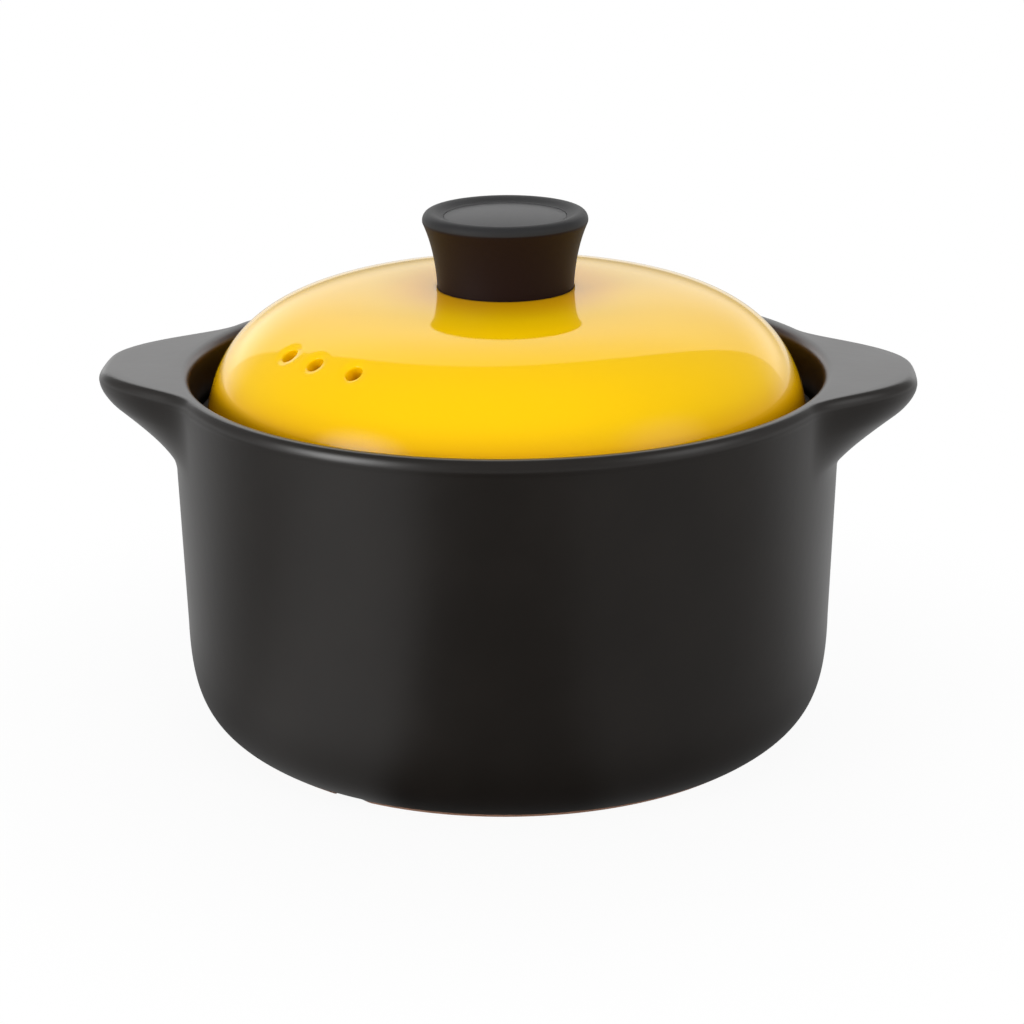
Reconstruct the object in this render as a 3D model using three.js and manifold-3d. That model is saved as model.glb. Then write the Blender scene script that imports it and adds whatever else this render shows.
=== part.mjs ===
// A lidded stoneware stew pot: a deep round vessel with two ear handles luted to its rim, a domed lid
// that drops inside the rim and stands on an inner ledge, and a flared knob screwed on through the lid.
// Millimetres, +Z up. The foot stands on z = 0, the ears lie on the X axis and the front faces -Y.
import * as THREE from "three";
import { mergeVertices } from "three/addons/utils/BufferGeometryUtils.js";
import Module from "manifold-3d";

const wasm = await Module();
wasm.setup();

// Vessel: the rim, the wall that narrows downwards, the round lower corner and the foot ring.
const POT_HEIGHT = 110.2;
const RIM_RADIUS = 100;
const RIM_WALL = 5.4;
const RIM_ROUND = 2.2;
const WALL_TAPER = 2.1;
const LOWER_CURVE_HEIGHT = 34;
const FOOT_INSET = 16.4;
const FOOT_WIDTH = 7;
const FOOT_RECESS = 3.2;
const FLOOR_THICKNESS = 6.5;
const INNER_CORNER = 30;

// Foot notches: trapezoid gaps that let air and water out from under the pot.
const NOTCH_COUNT = 3;
const NOTCH_WIDTH = 14;
const NOTCH_TOP_WIDTH = 9.5;
const NOTCH_HEIGHT = 3;

// Lid ledge: a step inside the wall, a little way below the rim.
const SEAT_DEPTH = 18.2;
const SEAT_WIDTH = 3.8;
const COLLAR_TAPER = 0.4;
const SEAT_COVE = 1;
const SEAT_EDGE = 0.8;

// Ear handles: a lug, flush with the rim, that flares into it and has a finger slope underneath.
// The half widths are arc lengths, of the blunt nose at the tip and of the flare at the rim.
const EAR_REACH = 22;
const EAR_NOSE_HALF_WIDTH = 8.3;
const EAR_FLARE_HALF_WIDTH = 42.6;
const EAR_ROOT_HALF_WIDTH = 37;
const EAR_TIP_THICKNESS = 6;
const EAR_MIDDLE_THICKNESS = 15.6;
const EAR_ROOT_THICKNESS = 27.2;
const EAR_EDGE_ROUND = 2;
const LUTING_GAP = 0.3;

// Lid: a domed shell with a flange that stands on the ledge and a lip that keeps it centred.
const LID_HEIGHT = 41.8;
const LID_WALL = 6;
const LID_CLEARANCE = 0.9;
const SEAT_GAP = 0.3;
const FLANGE_WIDTH = 3.3;
const FLANGE_THICKNESS = 3.5;
const FLANGE_ROUND = 1.1;
const DOME_LEAN = 5;
const DOME_SHOULDER = 43;
const LIP_CLEARANCE = 1;
const LIP_WIDTH = 4;
const LIP_DEPTH = 4;

// Steam vents: three round holes side by side on the lid's shoulder.
const VENT_COUNT = 3;
const VENT_RADIUS = 2.7;
const VENT_INSET = 15.8;
const VENT_PITCH = 11;
const VENT_BEARING = 226.5;

// Knob: a moulded shell with a flared side, a rounded bead and a shallow recess for its top disc.
const KNOB_RADIUS = 24.5;
const KNOB_BASE_RADIUS = 19.8;
const KNOB_HEIGHT = 21.8;
const KNOB_BEAD_HEIGHT = 2.6;
const KNOB_BEAD_WIDTH = 6.3;
const KNOB_WALL = 3.6;
const KNOB_SEAT_MARGIN = 1.2;
const DISC_THICKNESS = 1.2;
const DISC_DEPTH = 1;
const DISC_GAP = 0.3;

// Knob fixing: an M6 pan-head screw from below, two washers, two gaskets and a threaded insert.
const SCREW_RADIUS = 3;
const SCREW_HEAD_RADIUS = 6;
const SCREW_HEAD_HEIGHT = 4.2;
const SCREW_CROSS_WIDTH = 1.4;
const SCREW_CROSS_LENGTH = 6.4;
const SCREW_CROSS_DEPTH = 2.2;
const SCREW_CLEARANCE = 0.3;
const INSERT_RADIUS = 4.6;
const INSERT_LENGTH = 12;
const INSERT_GAP = 0.3;
const INSERT_GROOVE = 0.7;
const THREAD_MARGIN = 1.5;
const BOSS_WALL = 3.6;
const BOSS_LIFT = 1.2;
const KNOB_GASKET_THICKNESS = 0.8;
const KNOB_GASKET_INSET = 0.4;
const BUSH_FLANGE_RADIUS = 10;
const BUSH_FLANGE_THICKNESS = 1.5;
const BUSH_WALL = 1.2;
const BUSH_SLEEVE = 4.5;
const WASHER_RADIUS = 9;
const WASHER_THICKNESS = 1.2;
const LOCK_WASHER_RADIUS = 5.9;
const LOCK_WASHER_THICKNESS = 1.6;
const LOCK_WASHER_SPLIT = 0.12;

// Facets: steps round a turned piece and along a curve or fillet, and a cutter's reach past a face.
const POT_STEPS = 60;
const KNOB_STEPS = 40;
const SMALL_STEPS = 20;
const VENT_STEPS = 14;
const EAR_STEPS = 28;
const CURVE_STEPS = 8;
const FILLET_STEPS = 2;
const CUT_MARGIN = 1;

// Places that follow from the sizes above.
const seatZ = POT_HEIGHT - SEAT_DEPTH;
const rimInner = RIM_RADIUS - RIM_WALL;
const collarFoot = rimInner - COLLAR_TAPER;
const innerWall = collarFoot - SEAT_WIDTH;
const footRadius = RIM_RADIUS - FOOT_INSET;
const floorZ = FOOT_RECESS + FLOOR_THICKNESS;
const flangeRadius = collarFoot - LID_CLEARANCE;
const flangeZ = seatZ + SEAT_GAP;
const domeRadius = flangeRadius - FLANGE_WIDTH;
const crownZ = flangeZ + LID_HEIGHT;
const underCrownZ = crownZ - LID_WALL;
const knobSeatRadius = KNOB_BASE_RADIUS + KNOB_SEAT_MARGIN;
const knobZ = crownZ + KNOB_GASKET_THICKNESS;
const knobTopZ = knobZ + KNOB_HEIGHT;
const recessRadius = KNOB_RADIUS - KNOB_BEAD_WIDTH;
const recessZ = knobTopZ - DISC_DEPTH - DISC_THICKNESS;
const screwHole = SCREW_RADIUS + SCREW_CLEARANCE;
const bushRadius = screwHole + BUSH_WALL;
const lidHole = bushRadius + SCREW_CLEARANCE;
const bushZ = underCrownZ - BUSH_FLANGE_THICKNESS;
const washerZ = bushZ - WASHER_THICKNESS;
const lockWasherZ = washerZ - LOCK_WASHER_THICKNESS;
const insertZ = knobZ + BOSS_LIFT;
const boreRadius = INSERT_RADIUS + INSERT_GAP;

const blackGlaze = new THREE.MeshStandardMaterial({ color: 0x24211f, roughness: 0.45, metalness: 0 });
const yellowGlaze = new THREE.MeshStandardMaterial({ color: 0xfbc600, roughness: 0.12, metalness: 0 });
const phenolic = new THREE.MeshStandardMaterial({ color: 0x2b2523, roughness: 0.6, metalness: 0 });
const discFinish = new THREE.MeshStandardMaterial({ color: 0x3a3a3b, roughness: 0.5, metalness: 0 });
const brass = new THREE.MeshStandardMaterial({ color: 0xb8923f, roughness: 0.35, metalness: 1 });
const stainless = new THREE.MeshStandardMaterial({ color: 0xb9bbbd, roughness: 0.3, metalness: 1 });
const silicone = new THREE.MeshStandardMaterial({ color: 0x2c2c2c, roughness: 0.7, metalness: 0 });

// The closed solid of a geometry, made of its positions alone with shared corners merged.
function solidOf(geometry) {
  const bare = new THREE.BufferGeometry();
  bare.setAttribute("position", geometry.getAttribute("position"));
  bare.setIndex(geometry.getIndex());
  const merged = mergeVertices(bare);
  const mesh = new wasm.Mesh({
    numProp: 3,
    vertProperties: merged.attributes.position.array,
    triVerts: new Uint32Array(merged.index.array),
  });
  return new wasm.Manifold(mesh);
}

// The geometry of a solid that was cut or joined.
function geometryOf(solid) {
  const mesh = solid.getMesh();
  const geometry = new THREE.BufferGeometry();
  geometry.setAttribute("position", new THREE.BufferAttribute(mesh.vertProperties, 3));
  geometry.setIndex(new THREE.BufferAttribute(mesh.triVerts, 1));
  geometry.computeVertexNormals();
  return geometry;
}

// A half outline in radius and height, turned about the Z axis: its cubic stretches are long curves
// and its quadratic ones are fillets.
function turned(path, steps) {
  const points = [path.curves[0].getPoint(0)];
  for (const curve of path.curves) {
    let count = 1;
    if (curve.isCubicBezierCurve) count = CURVE_STEPS;
    if (curve.isQuadraticBezierCurve) count = FILLET_STEPS;
    points.push(...curve.getPoints(count).slice(1));
  }
  return new THREE.LatheGeometry(points, steps).rotateX(Math.PI / 2);
}

// A plain ring between two radii and two heights.
function ring(inner, outer, bottom, top) {
  const path = new THREE.Path();
  path.moveTo(inner, bottom);
  path.lineTo(outer, bottom);
  path.lineTo(outer, top);
  path.lineTo(inner, top);
  path.lineTo(inner, bottom);
  return turned(path, SMALL_STEPS);
}

function piece(name, geometry, material) {
  const mesh = new THREE.Mesh(geometry, material);
  mesh.name = name;
  return mesh;
}

// The outside of the vessel from its foot to its rim, moved outwards by a clearance.
function outerWall(path, clearance) {
  const wallRadius = RIM_RADIUS - WALL_TAPER;
  const corner = wallRadius - footRadius;
  path.bezierCurveTo(
    footRadius + clearance + 0.73 * corner,
    0.18 * LOWER_CURVE_HEIGHT,
    wallRadius + clearance,
    0.31 * LOWER_CURVE_HEIGHT,
    wallRadius + clearance,
    LOWER_CURVE_HEIGHT,
  );
  path.lineTo(RIM_RADIUS + clearance, POT_HEIGHT - RIM_ROUND);
  path.quadraticCurveTo(
    RIM_RADIUS + clearance,
    POT_HEIGHT + clearance,
    RIM_RADIUS - RIM_ROUND,
    POT_HEIGHT + clearance,
  );
}

function potBody() {
  const footInner = footRadius - FOOT_WIDTH;
  const path = new THREE.Path();
  path.moveTo(0, FOOT_RECESS);
  path.lineTo(footInner - FOOT_RECESS, FOOT_RECESS);
  path.quadraticCurveTo(footInner, FOOT_RECESS, footInner, 0);
  path.lineTo(footRadius, 0);
  outerWall(path, 0);
  path.lineTo(rimInner + RIM_ROUND, POT_HEIGHT);
  path.quadraticCurveTo(rimInner, POT_HEIGHT, rimInner, POT_HEIGHT - RIM_ROUND);
  path.lineTo(collarFoot, seatZ + SEAT_COVE);
  path.quadraticCurveTo(collarFoot, seatZ, collarFoot - SEAT_COVE, seatZ);
  path.lineTo(innerWall + SEAT_EDGE, seatZ);
  path.quadraticCurveTo(innerWall, seatZ, innerWall, seatZ - SEAT_EDGE);
  path.lineTo(innerWall, floorZ + INNER_CORNER);
  path.bezierCurveTo(
    innerWall,
    floorZ + 0.45 * INNER_CORNER,
    innerWall - 0.45 * INNER_CORNER,
    floorZ,
    innerWall - INNER_CORNER,
    floorZ,
  );
  path.lineTo(0, floorZ);

  const section = new THREE.Shape();
  section.moveTo(-NOTCH_WIDTH / 2, 0);
  section.lineTo(-NOTCH_TOP_WIDTH / 2, NOTCH_HEIGHT);
  section.lineTo(NOTCH_TOP_WIDTH / 2, NOTCH_HEIGHT);
  section.lineTo(NOTCH_WIDTH / 2, 0);
  section.lineTo(NOTCH_WIDTH / 2, -CUT_MARGIN);
  section.lineTo(-NOTCH_WIDTH / 2, -CUT_MARGIN);
  const cutter = new THREE.ExtrudeGeometry(section, { depth: RIM_RADIUS, bevelEnabled: false });
  cutter.rotateX(Math.PI / 2).rotateZ(Math.PI / 2);
  cutter.translate(footInner - FOOT_RECESS, 0, 0);

  let body = solidOf(turned(path, POT_STEPS));
  for (let i = 0; i < NOTCH_COUNT; i++) {
    const turn = (i * 2 * Math.PI) / NOTCH_COUNT;
    body = body.subtract(solidOf(cutter.clone().rotateZ(turn)));
  }
  return geometryOf(body);
}

// One ear, pointing along +X: the section at its tip, bent round the rim while its reach fades out
// towards both sides, then cut behind by the wall.
function ear() {
  const tip = RIM_RADIUS + EAR_REACH;
  const root = RIM_RADIUS - RIM_WALL;
  const wallRadius = RIM_RADIUS - WALL_TAPER;
  const bottom = POT_HEIGHT - EAR_ROOT_THICKNESS;
  const middle = RIM_RADIUS + 0.45 * EAR_REACH;
  const middleZ = POT_HEIGHT - EAR_MIDDLE_THICKNESS;
  const tipZ = POT_HEIGHT - EAR_TIP_THICKNESS;
  const lowerRise = middleZ - bottom;
  const upperRise = tipZ - middleZ;
  const section = new THREE.Shape();
  section.moveTo(root, bottom);
  section.lineTo(wallRadius, bottom);
  section.bezierCurveTo(
    wallRadius + 0.25 * (middle - wallRadius),
    bottom + 0.35 * lowerRise,
    wallRadius + 0.65 * (middle - wallRadius),
    bottom + 0.68 * lowerRise,
    middle,
    middleZ,
  );
  section.bezierCurveTo(
    middle + 0.45 * (tip - middle),
    middleZ + 0.36 * upperRise,
    tip,
    middleZ + 0.5 * upperRise,
    tip,
    tipZ,
  );
  section.lineTo(tip, POT_HEIGHT - EAR_EDGE_ROUND);
  section.quadraticCurveTo(tip, POT_HEIGHT, tip - EAR_EDGE_ROUND, POT_HEIGHT);
  section.lineTo(root, POT_HEIGHT);
  const lug = new THREE.ExtrudeGeometry(section, {
    depth: 1,
    steps: EAR_STEPS,
    bevelEnabled: false,
    curveSegments: CURVE_STEPS,
  });

  const noseAngle = EAR_NOSE_HALF_WIDTH / tip;
  const flareAngle = EAR_FLARE_HALF_WIDTH / RIM_RADIUS;
  const rootAngle = EAR_ROOT_HALF_WIDTH / RIM_RADIUS;
  const points = lug.getAttribute("position");
  for (let i = 0; i < points.count; i++) {
    const angle = rootAngle * (1 - 2 * points.getZ(i));
    const fall = THREE.MathUtils.smoothstep(Math.abs(angle), noseAngle, flareAngle);
    const outside = Math.max(0, points.getX(i) - wallRadius) / (tip - wallRadius);
    const radius = points.getX(i) - fall * EAR_REACH * outside;
    points.setXYZ(i, radius * Math.cos(angle), radius * Math.sin(angle), points.getY(i));
  }

  const core = new THREE.Path();
  core.moveTo(0, -CUT_MARGIN);
  core.lineTo(footRadius + LUTING_GAP, -CUT_MARGIN);
  core.lineTo(footRadius + LUTING_GAP, 0);
  outerWall(core, LUTING_GAP);
  core.lineTo(0, POT_HEIGHT + LUTING_GAP);
  const wall = solidOf(turned(core, POT_STEPS));
  return geometryOf(solidOf(lug).subtract(wall));
}

// The dome's outer curve, from the flange up to the level seat of the knob.
function domeCurve(radius, bottom, crown, seat, shoulder) {
  return new THREE.CubicBezierCurve(
    new THREE.Vector2(radius, bottom),
    new THREE.Vector2(radius - DOME_LEAN, crown),
    new THREE.Vector2(radius - shoulder, crown),
    new THREE.Vector2(seat, crown),
  );
}

function lid() {
  const lipOuter = innerWall - LIP_CLEARANCE;
  const lipInner = lipOuter - LIP_WIDTH;
  const lipZ = flangeZ - LIP_DEPTH;
  const flangeTop = flangeZ + FLANGE_THICKNESS;
  const underSeat = BUSH_FLANGE_RADIUS + KNOB_SEAT_MARGIN;
  const outer = domeCurve(domeRadius, flangeTop, crownZ, knobSeatRadius, DOME_SHOULDER);
  const inner = domeCurve(lipInner, flangeZ, underCrownZ, underSeat, DOME_SHOULDER - LID_WALL);

  const path = new THREE.Path();
  path.moveTo(lidHole, underCrownZ);
  path.lineTo(underSeat, underCrownZ);
  path.bezierCurveTo(inner.v2.x, inner.v2.y, inner.v1.x, inner.v1.y, inner.v0.x, inner.v0.y);
  path.lineTo(lipInner, lipZ + FLANGE_ROUND);
  path.quadraticCurveTo(lipInner, lipZ, lipInner + FLANGE_ROUND, lipZ);
  path.lineTo(lipOuter - FLANGE_ROUND, lipZ);
  path.quadraticCurveTo(lipOuter, lipZ, lipOuter, lipZ + FLANGE_ROUND);
  path.lineTo(lipOuter, flangeZ);
  path.lineTo(flangeRadius - FLANGE_ROUND, flangeZ);
  path.quadraticCurveTo(flangeRadius, flangeZ, flangeRadius, flangeZ + FLANGE_ROUND);
  path.lineTo(flangeRadius, flangeTop - FLANGE_ROUND);
  path.quadraticCurveTo(flangeRadius, flangeTop, flangeRadius - FLANGE_ROUND, flangeTop);
  path.lineTo(outer.v0.x, outer.v0.y);
  path.bezierCurveTo(outer.v1.x, outer.v1.y, outer.v2.x, outer.v2.y, outer.v3.x, outer.v3.y);
  path.lineTo(lidHole, crownZ);
  path.lineTo(lidHole, underCrownZ);

  // Each vent is punched square to the dome where it goes through.
  const ventCircle = domeRadius - VENT_INSET;
  let low = 0;
  let high = 1;
  while (high - low > 1e-6) {
    const middle = (low + high) / 2;
    if (outer.getPoint(middle).x > ventCircle) low = middle;
    else high = middle;
  }
  const place = outer.getPoint(low);
  const along = outer.getTangent(low);
  const punch = new THREE.CylinderGeometry(VENT_RADIUS, VENT_RADIUS, 3 * LID_WALL, VENT_STEPS);
  punch.rotateX(Math.PI / 2).rotateY(Math.atan2(along.y, -along.x)).translate(place.x, 0, place.y);

  let shell = solidOf(turned(path, POT_STEPS));
  for (let i = 0; i < VENT_COUNT; i++) {
    const bearing = VENT_BEARING + (i - (VENT_COUNT - 1) / 2) * VENT_PITCH;
    shell = shell.subtract(solidOf(punch.clone().rotateZ(THREE.MathUtils.degToRad(bearing))));
  }
  return geometryOf(shell);
}

function knob() {
  const beadZ = knobTopZ - KNOB_BEAD_HEIGHT;
  const boreTop = insertZ + INSERT_LENGTH + INSERT_GAP;
  const bossRadius = boreRadius + BOSS_WALL;
  const coreZ = recessZ - KNOB_WALL;
  const coreRadius = KNOB_BASE_RADIUS - KNOB_WALL;
  const flare = KNOB_RADIUS - KNOB_BASE_RADIUS;
  const sideHeight = beadZ - knobZ;
  const beadTop = KNOB_RADIUS - 0.4 * KNOB_BEAD_WIDTH;

  const path = new THREE.Path();
  path.moveTo(0, boreTop);
  path.lineTo(boreRadius, boreTop);
  path.lineTo(boreRadius, insertZ);
  path.lineTo(bossRadius, insertZ);
  path.lineTo(bossRadius, coreZ);
  path.lineTo(coreRadius, coreZ);
  path.lineTo(coreRadius, knobZ);
  path.lineTo(KNOB_BASE_RADIUS, knobZ);
  path.bezierCurveTo(
    KNOB_BASE_RADIUS + 0.12 * flare,
    knobZ + 0.45 * sideHeight,
    KNOB_BASE_RADIUS + 0.6 * flare,
    knobZ + 0.75 * sideHeight,
    KNOB_RADIUS,
    beadZ,
  );
  path.quadraticCurveTo(KNOB_RADIUS + 0.1 * KNOB_BEAD_HEIGHT, knobTopZ, beadTop, knobTopZ);
  path.quadraticCurveTo(recessRadius + 0.2 * KNOB_BEAD_WIDTH, knobTopZ, recessRadius, knobTopZ - DISC_DEPTH);
  path.lineTo(recessRadius, recessZ);
  path.lineTo(0, recessZ);
  return turned(path, KNOB_STEPS);
}

function knobDisc() {
  const radius = recessRadius - DISC_GAP;
  const bevel = DISC_GAP;
  const path = new THREE.Path();
  path.moveTo(0, recessZ);
  path.lineTo(radius, recessZ);
  path.lineTo(radius, recessZ + DISC_THICKNESS - bevel);
  path.lineTo(radius - bevel, recessZ + DISC_THICKNESS);
  path.lineTo(0, recessZ + DISC_THICKNESS);
  return turned(path, KNOB_STEPS);
}

function knobInsert() {
  const top = insertZ + INSERT_LENGTH;
  const third = INSERT_LENGTH / 3;
  const groove = INSERT_RADIUS - INSERT_GROOVE;
  const path = new THREE.Path();
  path.moveTo(screwHole, insertZ);
  path.lineTo(INSERT_RADIUS, insertZ);
  path.lineTo(INSERT_RADIUS, insertZ + third);
  path.lineTo(groove, insertZ + third + INSERT_GROOVE);
  path.lineTo(groove, top - third - INSERT_GROOVE);
  path.lineTo(INSERT_RADIUS, top - third);
  path.lineTo(INSERT_RADIUS, top);
  path.lineTo(screwHole, top);
  path.lineTo(screwHole, insertZ);
  return turned(path, SMALL_STEPS);
}

function knobScrew() {
  const headZ = lockWasherZ - SCREW_HEAD_HEIGHT;
  const end = insertZ + INSERT_LENGTH - THREAD_MARGIN;
  const path = new THREE.Path();
  path.moveTo(0, headZ);
  path.lineTo(SCREW_HEAD_RADIUS / 2, headZ);
  path.quadraticCurveTo(SCREW_HEAD_RADIUS, headZ, SCREW_HEAD_RADIUS, headZ + 0.6 * SCREW_HEAD_HEIGHT);
  path.lineTo(SCREW_HEAD_RADIUS, lockWasherZ);
  path.lineTo(SCREW_RADIUS, lockWasherZ);
  path.lineTo(SCREW_RADIUS, end - SCREW_CLEARANCE);
  path.lineTo(SCREW_RADIUS - SCREW_CLEARANCE, end);
  path.lineTo(0, end);
  const depth = 2 * SCREW_CROSS_DEPTH;
  const slot = new THREE.BoxGeometry(SCREW_CROSS_LENGTH, SCREW_CROSS_WIDTH, depth).translate(0, 0, headZ);
  const cross = solidOf(slot).add(solidOf(slot.clone().rotateZ(Math.PI / 2)));
  return geometryOf(solidOf(turned(path, SMALL_STEPS)).subtract(cross));
}

// The silicone bush: a flange under the lid with a sleeve that keeps the screw off the lid's hole.
function lidBush() {
  const path = new THREE.Path();
  path.moveTo(screwHole, bushZ);
  path.lineTo(BUSH_FLANGE_RADIUS, bushZ);
  path.lineTo(BUSH_FLANGE_RADIUS, underCrownZ);
  path.lineTo(bushRadius, underCrownZ);
  path.lineTo(bushRadius, underCrownZ + BUSH_SLEEVE);
  path.lineTo(screwHole, underCrownZ + BUSH_SLEEVE);
  path.lineTo(screwHole, bushZ);
  return turned(path, SMALL_STEPS);
}

// The spring washer: a ring with one narrow split.
function lockWasher() {
  const shape = new THREE.Shape();
  const last = 2 * Math.PI - LOCK_WASHER_SPLIT;
  shape.absarc(0, 0, LOCK_WASHER_RADIUS, LOCK_WASHER_SPLIT, last, false);
  shape.absarc(0, 0, screwHole, last, LOCK_WASHER_SPLIT, true);
  const settings = { depth: LOCK_WASHER_THICKNESS, bevelEnabled: false, curveSegments: SMALL_STEPS / 2 };
  return new THREE.ExtrudeGeometry(shape, settings).translate(0, 0, lockWasherZ);
}

const pot = new THREE.Group();
pot.add(piece("pot_body", potBody(), blackGlaze));
pot.add(piece("ear_handle_right", ear(), blackGlaze));
pot.add(piece("ear_handle_left", ear().rotateZ(Math.PI), blackGlaze));

const cover = new THREE.Group();
const gasketInner = KNOB_BASE_RADIUS - KNOB_WALL - KNOB_GASKET_INSET;
const gasketOuter = KNOB_BASE_RADIUS - KNOB_GASKET_INSET;
cover.add(piece("lid", lid(), yellowGlaze));
cover.add(piece("knob", knob(), phenolic));
cover.add(piece("knob_top_disc", knobDisc(), discFinish));
cover.add(piece("knob_insert", knobInsert(), brass));
cover.add(piece("knob_gasket", ring(gasketInner, gasketOuter, crownZ, knobZ), silicone));
cover.add(piece("lid_bush", lidBush(), silicone));
cover.add(piece("flat_washer", ring(screwHole, WASHER_RADIUS, washerZ, bushZ), stainless));
cover.add(piece("lock_washer", lockWasher(), stainless));
cover.add(piece("knob_screw", knobScrew(), stainless));

const object = new THREE.Group();
object.add(pot, cover);
export default object;
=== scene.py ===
from math import atan2, cos, pi, radians, sin, tau

import bmesh
import bpy
from mathutils import Matrix, Quaternion, Vector
from mathutils.geometry import interpolate_bezier


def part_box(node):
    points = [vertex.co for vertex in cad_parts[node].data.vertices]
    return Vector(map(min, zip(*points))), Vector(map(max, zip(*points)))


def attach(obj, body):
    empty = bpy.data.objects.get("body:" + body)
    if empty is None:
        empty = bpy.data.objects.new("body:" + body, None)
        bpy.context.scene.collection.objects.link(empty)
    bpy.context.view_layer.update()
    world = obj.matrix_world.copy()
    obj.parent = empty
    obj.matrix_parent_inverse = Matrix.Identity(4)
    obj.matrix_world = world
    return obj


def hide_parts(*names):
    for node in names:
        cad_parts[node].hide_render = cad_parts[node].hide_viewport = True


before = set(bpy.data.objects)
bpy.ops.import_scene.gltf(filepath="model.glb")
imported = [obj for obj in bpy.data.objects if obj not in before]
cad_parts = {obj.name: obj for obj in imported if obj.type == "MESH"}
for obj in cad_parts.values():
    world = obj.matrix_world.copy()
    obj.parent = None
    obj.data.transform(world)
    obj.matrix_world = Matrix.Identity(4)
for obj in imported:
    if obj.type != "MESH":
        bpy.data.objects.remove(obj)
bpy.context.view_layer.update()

# The vessel is stoneware with a satin black glaze, turned on a wheel, with two ears luted to its rim
# and smoothed into it before the firing. Its foot ring is wiped bare and has three notches cut in it.
# Outlines are pairs of radius and height in millimetres, turned about the Z axis.
MM = 0.001
rim_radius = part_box("pot_body")[1][0] / MM
rim_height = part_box("pot_body")[1][2] / MM
ear_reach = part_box("ear_handle_right")[1][0] / MM - rim_radius
vessel_columns = 360
foot_outer = 83.6
foot_inner = 76.6
foot_recess = 5
foot_inner_edge = 0.6
foot_outer_edge = Vector((0.4, 0.23))
body_corner = (93.6, 6.2), (97.8, 11.2)
wall_foot = Vector((97.9, 34))
ear_root = 82.5
# The ear's section, as shares of its reach and heights: crease, slope foot, slope head, corner and lip.
ear_slope = ((0, 85.6), (0.087, 87.4), (0.8, 99.3), (1, 102.8), (1, 106.2))
rim_round = Vector((2.0, 3.6))
ear_round = Vector((3.0, 3.4))
rim_inner = 94.6
rim_inner_round = 2.8
collar_foot = 94.2
collar_round = 1
seat_height = 92
seat_round = 0.8
inner_wall = 90.4
inner_corner = 30
floor_height = 9.7
ear_nose = radians(3.2)
ear_flare = radians(26.5)
notch_count = 3
notch_half_width = 6.3 * MM
notch_half_top = 5.7 * MM
notch_height = 2.7 * MM
notch_bearing = radians(240.8)
glaze_dark = (0.0049, 0.0030, 0.0017, 1)
glaze_light = (0.0062, 0.0040, 0.0025, 1)
glaze_thin = (0.035, 0.013, 0.005, 1)
clay_dark = (0.38, 0.19, 0.12, 1)
clay_light = (0.52, 0.29, 0.19, 1)


def outline(start, *stretches):
    """A chain of points. A stretch ends with its last point and its number of steps, after nothing if it
    is straight, the corner that it rounds off, or the two handles of a free curve."""
    points = [Vector(start)]
    for *handles, end, steps in stretches:
        first = points[-1]
        end = Vector(end)
        if not handles:
            handles = first.lerp(end, 1 / 3), first.lerp(end, 2 / 3)
        if len(handles) == 1:
            corner = Vector(handles[0])
            handles = first.lerp(corner, 0.55), end.lerp(corner, 0.55)
        points += interpolate_bezier(first, Vector(handles[0]), Vector(handles[1]), end, steps + 1)[1:]
    return points


def turned(points, columns, closed=False):
    """A bmesh of an outline turned once round the Z axis. Each vertex keeps its row of the outline."""
    bm = bmesh.new()
    rows = bm.verts.layers.int.new("row")
    chain = [bm.verts.new((radius * MM, 0, height * MM)) for radius, height in points]
    for row, vert in enumerate(chain):
        vert[rows] = row
    edges = [bm.edges.new(pair) for pair in zip(chain, chain[1:])]
    if closed:
        edges.append(bm.edges.new((chain[-1], chain[0])))
    about = {"cent": (0, 0, 0), "axis": (0, 0, 1)}
    bmesh.ops.spin(bm, geom=chain + edges, angle=tau / 4, steps=columns // 4, **about)
    quarter = bm.verts[:] + bm.edges[:] + bm.faces[:]
    bmesh.ops.spin(bm, geom=quarter, angle=0.75 * tau, steps=3, use_duplicate=True, **about)
    bmesh.ops.remove_doubles(bm, verts=bm.verts, dist=1e-6)
    bmesh.ops.recalc_face_normals(bm, faces=bm.faces)
    return bm


def edges_of(faces):
    """The edges of some faces, each of them once."""
    return list(dict.fromkeys(edge for face in faces for edge in face.edges))


def piece(name, bm, finish, body, slot, *nodes):
    """Turns a bmesh into a smooth object with its finish, body and CAD nodes. The slot argument is not
    used.
    """
    for face in bm.faces:
        face.smooth = True
    for edge in bm.edges:
        edge.smooth = edge.calc_face_angle(0) < radians(38)
    mesh = bpy.data.meshes.new(name)
    bm.to_mesh(mesh)
    bm.free()
    mesh.materials.append(finish)
    made = bpy.data.objects.new(name, mesh)
    bpy.context.scene.collection.objects.link(made)
    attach(made, body)
    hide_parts(*nodes)
    return made


def wall_point(height, out):
    """A point on the outside of the wall at a height, moved outwards."""
    share = (height - wall_foot.y) / (rim_height - wall_foot.y)
    return wall_foot.lerp(Vector((rim_radius, rim_height)), share) + Vector((out, 0))


def rim_section(reach):
    """The outside of the wall from the root of the ears up to the flat rim, where it reaches out so far."""
    edge = rim_radius + reach
    rounding = rim_round.lerp(ear_round, reach / ear_reach)
    slope = [wall_point(height, share * reach) for share, height in ear_slope]
    crease, slope_foot, slope_head, corner, lip = slope
    return outline(
        wall_point(ear_root, 0),
        (crease, slope_foot, 4),
        (slope_head, 12),
        (corner, lip, 8),
        ((edge, rim_height - rounding.y), 1),
        ((edge, rim_height), (edge - rounding.x, rim_height), 8),
        ((rim_inner + rim_inner_round, rim_height), 6),
    )


def ear_profile(bearing):
    """How far the rim reaches out at a bearing from the middle of the ear."""
    fade = min(1, max(0, (bearing - ear_nose) / (ear_flare - ear_nose)))
    return ear_reach * (1 - fade * fade * (3 - 2 * fade))


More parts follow.
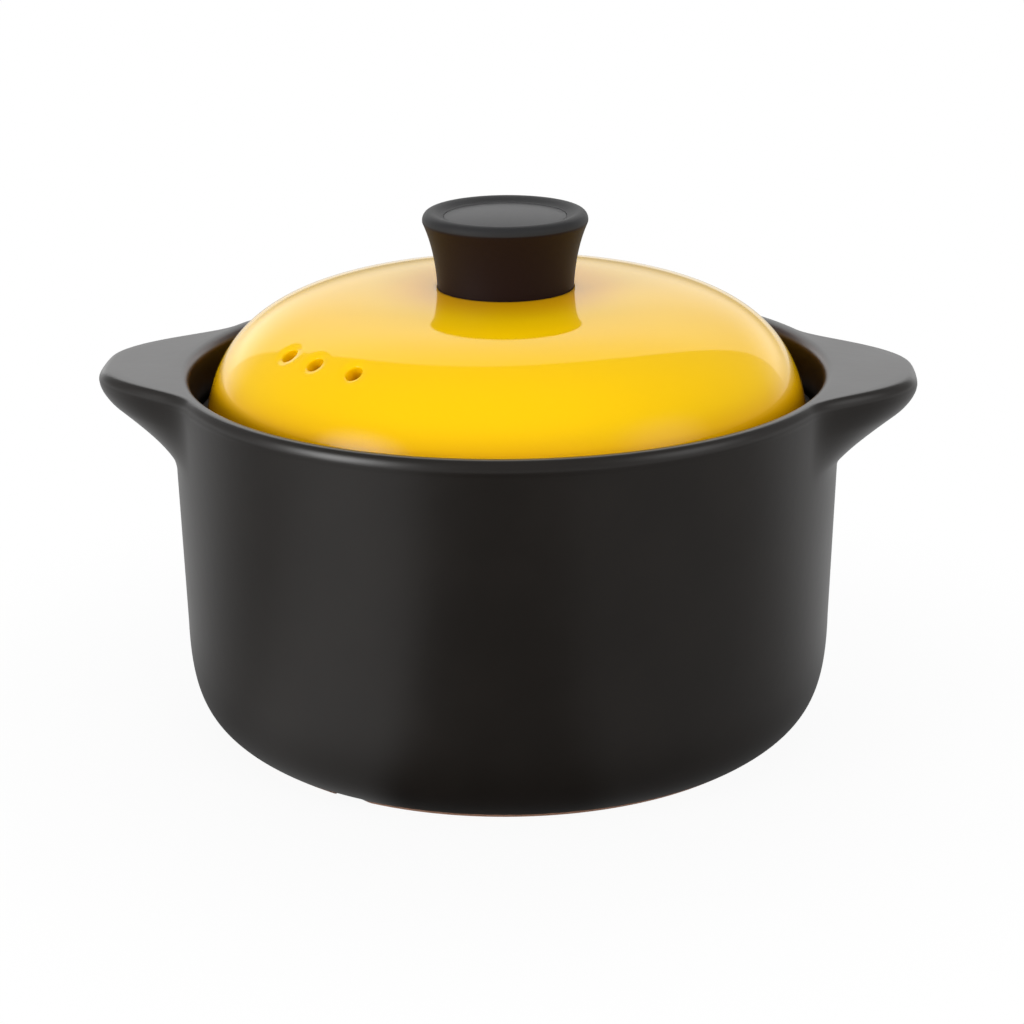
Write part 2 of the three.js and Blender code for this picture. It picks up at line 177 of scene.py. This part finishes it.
outer_skin = outline(
    (0, foot_recess),
    ((foot_inner - foot_recess, foot_recess), 8),
    ((foot_inner, foot_recess), (foot_inner, foot_inner_edge), 4),
    ((foot_inner, 0), (foot_inner + foot_inner_edge, 0), 2),
    ((foot_outer - foot_outer_edge.x, 0), 3),
    ((foot_outer, 0), Vector((foot_outer, 0)) + foot_outer_edge, 3),
    (*body_corner, wall_foot, 30),
    (wall_point(ear_root, 0), 8),
)
inner_skin = outline(
    (rim_inner + rim_inner_round, rim_height),
    ((rim_inner, rim_height), (rim_inner, rim_height - rim_inner_round), 6),
    ((collar_foot, seat_height + collar_round), 4),
    ((collar_foot, seat_height), (collar_foot - collar_round, seat_height), 4),
    ((inner_wall + seat_round, seat_height), 2),
    ((inner_wall, seat_height), (inner_wall, seat_height - seat_round), 4),
    ((inner_wall, floor_height + inner_corner), 8),
    ((inner_wall, floor_height), (inner_wall - inner_corner, floor_height), 16),
    ((0, floor_height), 8),
)
plain_rim = rim_section(0)
vessel = turned(outer_skin[:-1] + plain_rim + inner_skin[1:], vessel_columns)
rows = vessel.verts.layers.int["row"]
sections = {}
for vert in vessel.verts:
    row = vert[rows] - (len(outer_skin) - 1)
    bearing = round(atan2(abs(vert.co.y), abs(vert.co.x)), 4)
    if bearing < ear_flare and 0 <= row < len(plain_rim):
        if bearing not in sections:
            sections[bearing] = rim_section(ear_profile(bearing))
        radius, height = sections[bearing][row]
        around = Vector((vert.co.x, vert.co.y, 0)).normalized()
        vert.co = radius * MM * around + Vector((0, 0, height * MM))

foot_reach = 0.9 * foot_inner * MM
for notch in range(notch_count):
    bearing = notch_bearing + notch * tau / notch_count
    along = Vector((cos(bearing), sin(bearing), 0))
    across = Vector((-sin(bearing), cos(bearing), 0))
    for offset in (-notch_half_width, -notch_half_top, notch_half_top, notch_half_width):
        near = []
        for face in vessel.faces:
            middle = face.calc_center_median()
            low = middle.z < 2 * notch_height
            if low and middle.dot(along) > foot_reach and abs(middle.dot(across)) < 2 * notch_half_width:
                near.append(face)
        bmesh.ops.bisect_plane(
            vessel, geom=near + edges_of(near), dist=1e-7, plane_co=offset * across, plane_no=across
        )
    for vert in vessel.verts:
        if vert.co.dot(along) > foot_reach and vert.co.z < notch_height:
            room = (notch_half_width - abs(vert.co.dot(across))) / (notch_half_width - notch_half_top)
            vert.co.z = max(vert.co.z, notch_height * min(1, max(0, room)))


class Wire:
    """A shader socket that can stand in a sum, where each operator adds one Math node."""

    def __init__(self, tree, socket=None):
        self.tree = tree
        self.socket = socket

    def node(self, kind, settings, inputs, output=0):
        """Any node: its settings first, then the values or wires of its sockets."""
        made = self.tree.nodes.new(kind)
        for name, value in settings.items():
            setattr(made, name, value)
        for name, value in inputs.items():
            if isinstance(value, Wire):
                self.tree.links.new(value.socket, made.inputs[name])
            else:
                made.inputs[name].default_value = value
        return Wire(self.tree, made.outputs[output] if made.outputs else None)

    def maths(self, operation, first, second):
        return self.node("ShaderNodeMath", {"operation": operation}, {0: first, 1: second})

    def __add__(self, other):
        return self.maths("ADD", self, other)

    def __sub__(self, other):
        return self.maths("SUBTRACT", self, other)

    def __rsub__(self, other):
        return self.maths("SUBTRACT", other, self)

    def __mul__(self, other):
        return self.maths("MULTIPLY", self, other)

    def __truediv__(self, other):
        return self.maths("DIVIDE", self, other)

    def __rtruediv__(self, other):
        return self.maths("DIVIDE", other, self)

    def __abs__(self):
        return self.maths("ABSOLUTE", self, 0)

    __radd__ = __add__
    __rmul__ = __mul__

    def part(self, axis):
        """The X, Y or Z of a place."""
        return self.node("ShaderNodeSeparateXYZ", {}, {"Vector": self}, axis)

    def length(self):
        """How far a place is from the origin."""
        return self.node("ShaderNodeVectorMath", {"operation": "LENGTH"}, {0: self}, "Value")

    def from_axis(self):
        """How far a place is from the Z axis."""
        flat = self.node("ShaderNodeVectorMath", {"operation": "MULTIPLY"}, {0: self, 1: (1, 1, 0)})
        return flat.length()

    def between(self, low, high):
        """0 below low, 1 above high, and a soft step from one to the other."""
        limits = {"Value": self, "From Min": low, "From Max": high}
        return self.node("ShaderNodeMapRange", {"interpolation_type": "SMOOTHSTEP"}, limits, "Result")

    def cloud(self, scale, detail=2.0):
        """Noise that has so many lumps to the metre."""
        lumps = {"Vector": self, "Scale": scale, "Detail": detail}
        return self.node("ShaderNodeTexNoise", {}, lumps, "Fac")

    def blend(self, first, second):
        """The first colour where this wire is 0, and the second where it is 1."""
        return self.node("ShaderNodeMix", {"data_type": "RGBA"}, {0: self, 6: first, 7: second}, 2)


def new_finish(name):
    """An empty material, with the wire of its Object coordinates."""
    material = bpy.data.materials.new(name)
    material.use_nodes = True
    material.node_tree.nodes.clear()
    start = Wire(material.node_tree)
    return material, start.node("ShaderNodeTexCoord", {}, {}, "Object")


def coat(place, relief, strength, distance, **sockets):
    """Closes a material with a Principled shader over a little relief."""
    bump = place.node("ShaderNodeBump", {}, {"Height": relief, "Strength": strength, "Distance": distance})
    inputs = {name.replace("_", " "): value for name, value in sockets.items()}
    inputs["Normal"] = bump
    shader = place.node("ShaderNodeBsdfPrincipled", {}, inputs)
    place.node("ShaderNodeOutputMaterial", {}, {"Surface": shader})


# The glaze runs thin and brown over the inner edge of the rim, and stops in a wavy line above the foot.
black_glaze, place = new_finish("satin_black_glaze")
flow = place.cloud(45.0, 3.0)
grain = place.cloud(1400.0)
wiped = 1 - (place.part("Z") + 0.7 * MM * place.cloud(320.0)).between(2.3 * MM, 2.8 * MM)
brim = place.part("Z").between(106.5 * MM, 108.5 * MM)
thin = brim * (1 - place.from_axis().between(95.2 * MM, 96.6 * MM))
glaze_colour = thin.blend(flow.between(0.35, 0.7).blend(glaze_dark, glaze_light), glaze_thin)
clay_colour = place.cloud(700.0, 4.0).between(0.3, 0.7).blend(clay_dark, clay_light)
coat(
    place,
    place.cloud(260.0) + 0.12 * grain + wiped * grain,
    0.035,
    0.6 * MM,
    Base_Color=wiped.blend(glaze_colour, clay_colour),
    Roughness=0.29 + 0.05 * flow + 0.4 * wiped,
    IOR=1.5,
)
piece(
    "vessel", vessel, black_glaze, "pot", "black_glaze", "pot_body", "ear_handle_left", "ear_handle_right"
)

# The lid is stoneware too, turned as a dome and dipped in a glossy yellow glaze, with three steam vents
# punched through it. Its flange is coloured near black, and the lip that centres it in the vessel is left
# bare.
lid_columns = 360
lid_hole = 4.8
lid_hole_edge = 0.6
lid_under = 128.1
lid_under_flat = 11.2
lid_under_handles = 48.4, 80.4
lid_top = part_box("lid")[1][2] / MM
flange_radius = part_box("lid")[1][0] / MM
flange_foot = 92.3
flange_top = 95.8
flange_round = 1.1
flange_fillet = 0.5
lip_inner = 85.4
lip_outer = 89.4
lip_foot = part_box("lid")[0][2] / MM
dome_radius = 90
dome_fillet = 1
dome_draft = 0.15
dome_handles = dome_radius - 5, dome_radius - 43
knob_seat = 20.6
seat_floor = lid_top - 0.55
vent_circle = 73.8
vent_mouth = 3.15 * MM
vent_bore = 2.45 * MM
vent_dimple = 0.3 * MM
vent_dimple_reach = 1.7 * vent_mouth
vent_steps = 6
vent_bearings = [radians(bearing) for bearing in (216.7, 226.5, 238.3)]
outer_face = -2 * MM, 2 * MM
inner_face = -12 * MM, -3 * MM
# The second yellow is the colour of painted shade on the dome.
yellow_base = (0.98, 0.6, 0.0, 1)
yellow_painted_shade = (0.92, 0.32, 0.0, 1)
flange_black = (0.014, 0.008, 0.005, 1)
lip_clay = (0.44, 0.25, 0.16, 1)
underside = outline(
    (lid_hole, lid_under),
    ((lid_under_flat, lid_under), 4),
    ((lid_under_handles[0], lid_under), (lid_under_handles[1], lid_under), (lip_inner, flange_foot), 60),
    ((lip_inner, lip_foot + flange_round), 2),
    ((lip_inner, lip_foot), (lip_inner + flange_round, lip_foot), 4),
    ((lip_outer - flange_round, lip_foot), 1),
    ((lip_outer, lip_foot), (lip_outer, lip_foot + flange_round), 4),
    ((lip_outer, flange_foot - flange_fillet), 2),
    ((lip_outer, flange_foot), (lip_outer + flange_fillet, flange_foot), 3),
    ((flange_radius - flange_round, flange_foot), 2),
    ((flange_radius, flange_foot), (flange_radius, flange_foot + flange_round), 4),
    ((flange_radius, flange_top - flange_round), 1),
    ((flange_radius, flange_top), (flange_radius - flange_round, flange_top), 4),
    ((dome_radius + dome_fillet, flange_top), 1),
    ((dome_radius, flange_top), (dome_radius - dome_draft, flange_top + flange_round), 4),
)
dome = outline(
    underside[-1],
    ((dome_handles[0], lid_top), (dome_handles[1], lid_top), (knob_seat, lid_top), 64),
)
seat = outline(
    dome[-1],
    ((knob_seat - 0.3, lid_top), (knob_seat - 0.4, seat_floor), 3),
    ((lid_hole + lid_hole_edge, seat_floor), 6),
    ((lid_hole, seat_floor), (lid_hole, seat_floor - lid_hole_edge), 3),
)
lid = turned(underside + dome[1:] + seat[1:], lid_columns, closed=True)
bmesh.ops.rotate(lid, verts=lid.verts, cent=(0, 0, 0), matrix=Matrix.Rotation(pi / lid_columns, 3, "Z"))


def verts_of(edges):
    """The vertices of some edges, each of them once."""
    return list(dict.fromkeys(vert for edge in edges for vert in edge.verts))


def within(spot, reach, face):
    """Whether a spot, seen from a vent, is so near its axis on the outer or the inner face of the lid."""
    return spot.xy.length < reach and face[0] < spot.z < face[1]


def round_hole(vent, reach, face):
    """Opens one face of the lid round a vent's axis, and gives the edges of the round rim."""
    inverse = vent.inverted()
    near = [item for item in lid.faces if within(inverse @ item.calc_center_median(), 2 * vent_mouth, face)]
    bmesh.ops.subdivide_edges(lid, edges=edges_of(near), cuts=3, use_grid_fill=True)
    cut = [item for item in lid.faces if within(inverse @ item.calc_center_median(), reach, face)]
    rim = [edge for edge in edges_of(cut) if not set(cut).issuperset(edge.link_faces)]
    bmesh.ops.delete(lid, geom=cut, context="FACES")
    for vert in verts_of(rim):
        spot = inverse @ vert.co
        spot.xy = reach * spot.xy.normalized()
        vert.co = vent @ spot
    return rim


row = next(i for i, point in enumerate(dome) if point.x < vent_circle)
crossing = (dome[row - 1].x - vent_circle) / (dome[row - 1].x - dome[row].x)
vent_place = dome[row - 1].lerp(dome[row], crossing) * MM
uphill = (dome[row] - dome[row - 1]).normalized()
lip_round = vent_mouth - vent_bore
for bearing in vent_bearings:
    outward = Vector((cos(bearing), sin(bearing), 0))
    upward = Vector((0, 0, 1))
    around = Vector((-sin(bearing), cos(bearing), 0))
    slope = uphill.x * outward + uphill.y * upward
    axis = uphill.y * outward - uphill.x * upward
    middle = vent_place.x * outward + vent_place.y * upward
    vent = Matrix.Translation(middle) @ Matrix((around, slope, axis)).transposed().to_4x4()
    inverse = vent.inverted()
    brink = round_hole(vent, vent_mouth, outer_face)
    for vert in lid.verts:
        spot = inverse @ vert.co
        if within(spot, vent_dimple_reach, outer_face):
            share = (vent_dimple_reach - spot.xy.length) / (vent_dimple_reach - vent_mouth)
            vert.co -= vent_dimple * share * share * axis
    inner_rim = round_hole(vent, vent_bore, inner_face)
    for step in range(vent_steps):
        before = step / vent_steps * pi / 2
        after = (step + 1) / vent_steps * pi / 2
        grown = bmesh.ops.extrude_edge_only(lid, edges=brink)["geom"]
        brink = [item for item in grown if isinstance(item, bmesh.types.BMEdge) and item.is_boundary]
        for vert in verts_of(brink):
            spot = inverse @ vert.co
            spot.xy -= lip_round * (sin(after) - sin(before)) * spot.xy.normalized()
            spot.z -= lip_round * (cos(before) - cos(after))
            vert.co = vent @ spot
    bmesh.ops.bridge_loops(lid, edges=brink + inner_rim)
bmesh.ops.recalc_face_normals(lid, faces=lid.faces)

# The yellow is painted more orange low on the dome and round the knob: painted shade where the rim and the
# knob shade it.
yellow_glaze, place = new_finish("glossy_yellow_glaze")
flow = place.cloud(30.0, 2.0)
# Painted shade: orange low on the dome, where the rim shades it, and round the knob, in its shadow.
low = 1 - place.part("Z").between(97 * MM, 116 * MM)
crown = 1 - place.from_axis().between(23 * MM, 42 * MM)
# The flange outside the dome is coloured near black.
flange_zone = place.from_axis().between((dome_radius - 0.1) * MM, (dome_radius + 0.6) * MM)
bare = 1 - place.part("Z").between((flange_foot - 0.3) * MM, (flange_foot + 0.4) * MM)
yellow_with_painted_shade = (0.8 * low + 0.4 * crown + 0.1 * flow).blend(yellow_base, yellow_painted_shade)
coat(
    place,
    place.cloud(130.0) + bare * place.cloud(1400.0),
    0.012,
    0.8 * MM,
    Base_Color=bare.blend(flange_zone.blend(yellow_with_painted_shade, flange_black), lip_clay),
    Roughness=0.06 + 0.5 * flange_zone * (1 - bare) + 0.7 * bare,
    IOR=1.33,
    Specular_Tint=(0.7, 0.7, 0.7, 1),
)
piece("lid_dome", lid, yellow_glaze, "lid", "yellow_glaze", "lid")

# The knob is moulded in black phenolic resin as a flared shell with a rolled top edge and a boss for its
# insert. The rolled edge is painted greyer than the side, as painted light where the top faces the light
# from above.
knob_columns = 160
knob_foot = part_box("knob")[0][2] / MM
knob_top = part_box("knob")[1][2] / MM
knob_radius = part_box("knob")[1][0] / MM
knob_base = 20.25
knob_flare = (20.75, 143), (22.45, 149)
skirt_foot = seat_floor + 0.1
skirt_inner = 19
skirt_edge = 0.4
bead_foot = knob_top - 3.1
bead_corner = (knob_radius + 0.4, knob_top - 0.1)
bead_top = knob_radius - 2.4
recess_radius = 18.2
recess_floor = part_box("knob_top_disc")[0][2] / MM
disc_edge = knob_top - 1.5
dish = (recess_radius + 2.6, knob_top), (recess_radius + 1.2, disc_edge + 0.1)
insert_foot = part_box("knob_insert")[0][2] / MM
bore_radius = 4.9
bore_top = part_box("knob_insert")[1][2] / MM + 0.3
boss_radius = 8.5
hollow_radius = 16.6
hollow_top = recess_floor - 3.6
side_brown = (0.0110, 0.0046, 0.0047, 1)
rolled_edge_painted_light = (0.024, 0.024, 0.025, 1)
knob = turned(
    outline(
        (0, bore_top),
        ((bore_radius, bore_top), 3),
        ((bore_radius, insert_foot), 2),
        ((boss_radius, insert_foot), 2),
        ((boss_radius, hollow_top), 3),
        ((hollow_radius, hollow_top), 3),
        ((hollow_radius, knob_foot), 3),
        ((skirt_inner, knob_foot), 2),
        ((skirt_inner, skirt_foot), 1),
        ((knob_base - skirt_edge, skirt_foot), 1),
        ((knob_base, skirt_foot), (knob_base, skirt_foot + skirt_edge), 4),
        (*knob_flare, (knob_radius - 0.05, bead_foot), 24),
        (bead_corner, (bead_top, knob_top), 14),
        (*dish, (recess_radius, disc_edge), 10),
        ((recess_radius, recess_floor), 2),
        ((0, recess_floor), 3),
    ),
    knob_columns,
)
black_phenolic, place = new_finish("moulded_black_phenolic")
# Painted light: the rolled top edge is coloured grey, lighter than the brown side.
painted_light_on_rolled_edge = place.part("Z").between((bead_foot + 0.1) * MM, (bead_foot + 0.6) * MM)
speck = place.cloud(2600.0, 3.0)
coat(
    place,
    speck + 0.6 * place.cloud(700.0),
    0.16,
    0.25 * MM,
    Base_Color=painted_light_on_rolled_edge.blend(side_brown, rolled_edge_painted_light),
    Roughness=0.5 + 0.12 * speck,
    IOR=1.45,
    Specular_Tint=(0.35, 0.35, 0.35, 1),
)
piece("knob_shell", knob, black_phenolic, "lid", "black_phenolic", "knob")

# The disc is a thin charcoal plastic blank, pressed into the recess on top of the knob. Its face is
# plain, slightly crowned and has a fine spark-eroded grain.
disc_crown = disc_edge + 1.1
disc_radius = recess_radius - 0.06
disc_handles = (12, disc_edge + 0.78), (6, disc_crown)
charcoal_dark = (0.024, 0.024, 0.025, 1)
charcoal_light = (0.034, 0.034, 0.036, 1)
disc = turned(
    outline(
        (0, recess_floor),
        ((disc_radius, recess_floor), 3),
        ((disc_radius, disc_edge - 0.15), 2),
        ((disc_radius, disc_edge), (disc_radius - 0.3, disc_edge + 0.04), 3),
        (*disc_handles, (0, disc_crown), 16),
    ),
    knob_columns,
)
charcoal, place = new_finish("charcoal_disc")
speck = place.cloud(2200.0, 3.0)
coat(
    place,
    speck,
    0.18,
    0.25 * MM,
    Base_Color=speck.between(0.35, 0.65).blend(charcoal_dark, charcoal_light),
    Roughness=0.28 + 0.1 * speck,
    IOR=1.17,
)
piece("knob_disc", disc, charcoal, "lid", "disc_grey", "knob_top_disc")

# Two black silicone seals keep the hardware off the glaze: a flat gasket under the knob, and a bush
# under the crown whose sleeve fills the hole in the lid.
seal_columns = 96
bush_columns = 72
gasket_inner = 16.2
gasket_outer = skirt_inner - 0.2
gasket_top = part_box("knob_gasket")[1][2] / MM
screw_hole = 3.3
sleeve_radius = 4.5
bush_edge = 0.4
bush_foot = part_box("lid_bush")[0][2] / MM
bush_radius, _, bush_top = [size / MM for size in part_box("lid_bush")[1]]
rubber_dark = (0.018, 0.018, 0.018, 1)
rubber_dusty = (0.028, 0.028, 0.028, 1)


def soft_ring(inner, outer, foot, top, edge):
    """A flat ring with rounded outer edges."""
    return outline(
        (inner, top),
        ((inner, foot), 2),
        ((outer - edge, foot), 3),
        ((outer, foot), (outer, foot + edge), 3),
        ((outer, top - edge), 1),
        ((outer, top), (outer - edge, top), 3),
    )


silicone, place = new_finish("black_silicone")
dust = place.cloud(900.0, 3.0)
coat(
    place,
    dust,
    0.1,
    0.2 * MM,
    Base_Color=dust.between(0.4, 0.7).blend(rubber_dark, rubber_dusty),
    Roughness=0.6 + 0.15 * dust,
)
gasket = soft_ring(gasket_inner, gasket_outer, seat_floor, gasket_top, 0.25)
piece("knob_seal", turned(gasket, seal_columns, closed=True), silicone, "lid", "silicone", "knob_gasket")
bush = outline(
    (screw_hole, bush_top),
    ((screw_hole, bush_foot), 4),
    ((bush_radius - bush_edge, bush_foot), 3),
    ((bush_radius, bush_foot), (bush_radius, bush_foot + bush_edge), 4),
    ((bush_radius, lid_under), 1),
    ((sleeve_radius, lid_under), 3),
    ((sleeve_radius, bush_top), 3),
)
piece("lid_seal", turned(bush, bush_columns, closed=True), silicone, "lid", "silicone", "lid_bush")

# The hardware under the crown is stamped and turned stainless steel: a flat washer, a split spring
# washer and the pan-head screw that draws the knob down, with a brass insert moulded into its boss.
washer_columns = 72
washer_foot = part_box("flat_washer")[0][2] / MM
washer_radius, _, washer_top = [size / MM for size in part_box("flat_washer")[1]]
lock_radius = 5.9
lock_split = 0.12
lock_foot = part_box("lock_washer")[0][2] / MM
lock_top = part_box("lock_washer")[1][2] / MM
screw_columns = 48
screw_radius = 3
screw_chamfer = 0.4
head_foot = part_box("knob_screw")[0][2] / MM
head_radius, _, screw_end = [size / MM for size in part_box("knob_screw")[1]]
head_top = lock_foot - 0.05
head_flat = 4.6
cross_arm = 3.2
cross_half = 0.7
cross_depth = 2.2
steel_dark = (0.60, 0.61, 0.62, 1)
steel_light = (0.72, 0.73, 0.74, 1)
brass_dark = (0.62, 0.45, 0.17, 1)
brass_light = (0.74, 0.57, 0.25, 1)
stainless, place = new_finish("stainless_steel")
brush = place.cloud(2400.0, 3.0)
coat(
    place,
    brush,
    0.05,
    0.1 * MM,
    Base_Color=brush.between(0.3, 0.7).blend(steel_dark, steel_light),
    Roughness=0.24 + 0.14 * brush,
    Metallic=1.0,
)
washer_section = soft_ring(screw_hole, washer_radius, washer_foot, washer_top, 0.2)
washer = turned(washer_section, washer_columns, closed=True)
piece("washer_flat", washer, stainless, "lid", "stainless", "flat_washer")

lock = bmesh.new()
lock_section = soft_ring(screw_hole, lock_radius, lock_foot, lock_top, 0.25)
chain = [lock.verts.new((radius * MM, 0, height * MM)) for radius, height in lock_section]
lock.faces.new(chain)
bmesh.ops.spin(
    lock,
    geom=lock.faces[:] + lock.edges[:] + chain,
    cent=(0, 0, 0),
    axis=(0, 0, 1),
    angle=tau - 2 * lock_split,
    steps=64,
)
bmesh.ops.rotate(lock, verts=lock.verts, cent=(0, 0, 0), matrix=Matrix.Rotation(lock_split, 3, "Z"))
bmesh.ops.recalc_face_normals(lock, faces=lock.faces)
piece("washer_spring", lock, stainless, "lid", "stainless", "lock_washer")

screw = turned(
    outline(
        (head_flat, head_foot + 0.15),
        ((head_radius, head_foot + 0.4), (head_radius, head_foot + 2.5), 8),
        ((head_radius, head_top), 2),
        ((screw_radius, head_top), 2),
        ((screw_radius, screw_end - screw_chamfer), 10),
        ((screw_radius - screw_chamfer, screw_end), 1),
        ((0, screw_end), 1),
    ),
    screw_columns,
)
mouth = [edge for edge in screw.edges if edge.is_boundary]
cross = []
for quarter in range(4):
    turn = Matrix.Rotation(quarter * tau / 4, 3, "Z")
    for x, y in ((cross_arm, -cross_half), (cross_arm, cross_half), (cross_half, cross_half)):
        cross.append(screw.verts.new(turn @ Vector((x, y, head_foot + 0.05)) * MM))
cross_edges = [screw.edges.new(pair) for pair in zip(cross, cross[1:] + cross[:1])]
bmesh.ops.bridge_loops(screw, edges=mouth + cross_edges)
floor_face = screw.faces.new(cross)
sunk = bmesh.ops.extrude_discrete_faces(screw, faces=[floor_face])["faces"][0]
bmesh.ops.translate(screw, verts=sunk.verts, vec=(0, 0, cross_depth * MM))
bmesh.ops.scale(screw, verts=sunk.verts, vec=(0.7, 0.7, 1))
bmesh.ops.recalc_face_normals(screw, faces=screw.faces)
piece("screw_pan_head", screw, stainless, "lid_spindle", "stainless", "knob_screw")

brass, place = new_finish("turned_brass")
swarf = place.cloud(2000.0, 3.0)
coat(
    place,
    swarf,
    0.06,
    0.1 * MM,
    Base_Color=swarf.between(0.3, 0.7).blend(brass_dark, brass_light),
    Roughness=0.28 + 0.14 * swarf,
    Metallic=1.0,
)
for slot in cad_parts["knob_insert"].material_slots:
    slot.material = brass

# The studio is a white paper floor in a dim room, whose reflection near the pot is painted light and shade.
# A wide oval of lit cloth hangs behind the pot, soft lamps stand at its sides and behind it, and the key
# lamp in front is kept out of mirror reflections.
floor_radius = 8.0
cloth_half_width = 0.82
cloth_height = 2.05
cloth_lean = 0.285
room_light = 0.45
# The bearing from the front and the height above the horizon in degrees, and the strength.
lamps = {
    "left": (-54, 13, 9.0),
    "right": (68, 22, 1.8),
    "back_left": (-146, 3, 0.9),
    "back_right": (146, 3, 0.6),
}
key_place = Vector((0.75, -1.1, 0.65))
key_size = 0.9
key_energy = 7.0
paper_white = (0.85, 0.85, 0.85, 1)
# In reflections the paper's own colour is nearly black, so that the painted light below stands in for its
# lighting.
paper_dimmed_in_reflections = (0.05, 0.05, 0.05, 1)
floor = bmesh.new()
bmesh.ops.create_circle(floor, cap_ends=True, segments=96, radius=floor_radius)
paper, place = new_finish("white_paper")
seen = place.node("ShaderNodeLightPath", {}, {}, "Is Camera Ray")
mirrored = place.node("ShaderNodeLightPath", {}, {}, "Is Glossy Ray")
mirrored = mirrored + place.node("ShaderNodeLightPath", {}, {}, "Is Transmission Ray")
# In reflections the floor near the pot shows painted light and shade: a brighter band behind the pot, a
# painted pool of lamp light at the front left, a painted dark patch straight in front, and a painted
# contact shadow round the foot. Further out it turns white.
distance = place.length()
under = 1 - distance.between(0.070, 0.0835)
ahead = place.part("Y") * -1.0
slant = place.part("X") / ahead
fore = ahead.between(0.02, 0.08)
back = 1 - ahead.between(-0.1, 0.06)
painted_dark_patch = fore * (1 - abs(slant).between(0.28, 0.5))
painted_lamp_pool = fore * (1 - slant.between(-0.5, -0.28)) * slant.between(-3.0, -0.9)
painted_contact_shadow = 0.4 + 0.6 * distance.between(0.085, 0.15)
near = (0.31 + 0.27 * back - 0.17 * painted_dark_patch + 0.35 * painted_lamp_pool) * painted_contact_shadow
shown = seen * (0.93 + 0.07 * distance.between(0.10, 0.24))
reflected_floor_painted_light = mirrored * (near + distance.between(0.5, 1.5) * (1 - near))
lit = place.node("ShaderNodeBsdfDiffuse", {}, {"Color": mirrored.blend(paper_white, paper_dimmed_in_reflections)})
white = place.node("ShaderNodeEmission", {}, {"Color": (1, 1, 1, 1), "Strength": 1.0})
both = place.node("ShaderNodeMixShader", {}, {0: (shown + reflected_floor_painted_light) * (1 - under), 1: lit, 2: white})
place.node("ShaderNodeOutputMaterial", {}, {"Surface": both})
floor_mesh = bpy.data.meshes.new("paper_floor")
floor.to_mesh(floor_mesh)
floor.free()
floor_mesh.materials.append(paper)
paper_floor = bpy.data.objects.new("paper_floor", floor_mesh)
bpy.context.scene.collection.objects.link(paper_floor)

room = bpy.data.worlds.new("room")
bpy.context.scene.world = room
room.use_nodes = True
room.node_tree.nodes.clear()
view = Wire(room.node_tree).node("ShaderNodeTexCoord", {}, {}, "Generated")
across = view.part("X") * (1 / cloth_half_width)
behind = view.part("Y")
rise = view.part("Z")
leaning = rise * (1 / cloth_height) + cloth_lean * across
oval = behind * abs(behind) - across * across - leaning * leaning
cloth = 0.85 + 0.6 * rise.between(0.34, 0.62) - 0.2 * rise.between(0.75, 0.95)
light = room_light + rise.between(0.01, 0.16) * cloth * oval.between(0.0, 0.02)
for bearing, elevation, strength in lamps.values():
    bearing = radians(bearing)
    elevation = radians(elevation)
    aim = Vector((sin(bearing) * cos(elevation), -cos(bearing) * cos(elevation), sin(elevation)))
    offset = view.node("ShaderNodeVectorMath", {"operation": "SUBTRACT"}, {0: view, 1: aim})
    light = light + strength * (1 - offset.length().between(0.05, 0.42))
glow = view.node("ShaderNodeBackground", {}, {"Color": (1, 1, 1, 1), "Strength": light})
view.node("ShaderNodeOutputWorld", {}, {"Surface": glow})

key_light = bpy.data.lights.new("key_lamp", "AREA")
key_light.size = key_size
key_light.energy = key_energy
key_lamp = bpy.data.objects.new("key_lamp", key_light)
key_lamp.location = key_place
key_lamp.rotation_euler = (-key_place).to_track_quat("-Z", "Y").to_euler()
key_lamp.visible_glossy = False
bpy.context.scene.collection.objects.link(key_lamp)

# The camera looks down on the pot a little, from just to the right of its front, and is rolled slightly.
camera_target = Vector((0, 0, 0.0585))
camera_distance = 0.8293
camera_azimuth = radians(3.4)
camera_elevation = radians(18.6)
camera_roll = radians(-0.45)
towards = Vector(
    (
        sin(camera_azimuth) * cos(camera_elevation),
        -cos(camera_azimuth) * cos(camera_elevation),
        sin(camera_elevation),
    )
)
lens = bpy.data.cameras.new("camera")
lens.sensor_width = 36
lens.lens = 95.45
lens.shift_x = 0.0043
lens.shift_y = 0.01465
camera = bpy.data.objects.new("camera", lens)
camera.location = camera_target + camera_distance * towards
aimed = (-towards).to_track_quat("-Z", "Y") @ Quaternion((0, 0, 1), camera_roll)
camera.rotation_euler = aimed.to_euler()
bpy.context.scene.collection.objects.link(camera)
bpy.context.scene.camera = camera
bpy.context.scene.view_settings.view_transform = "Standard"
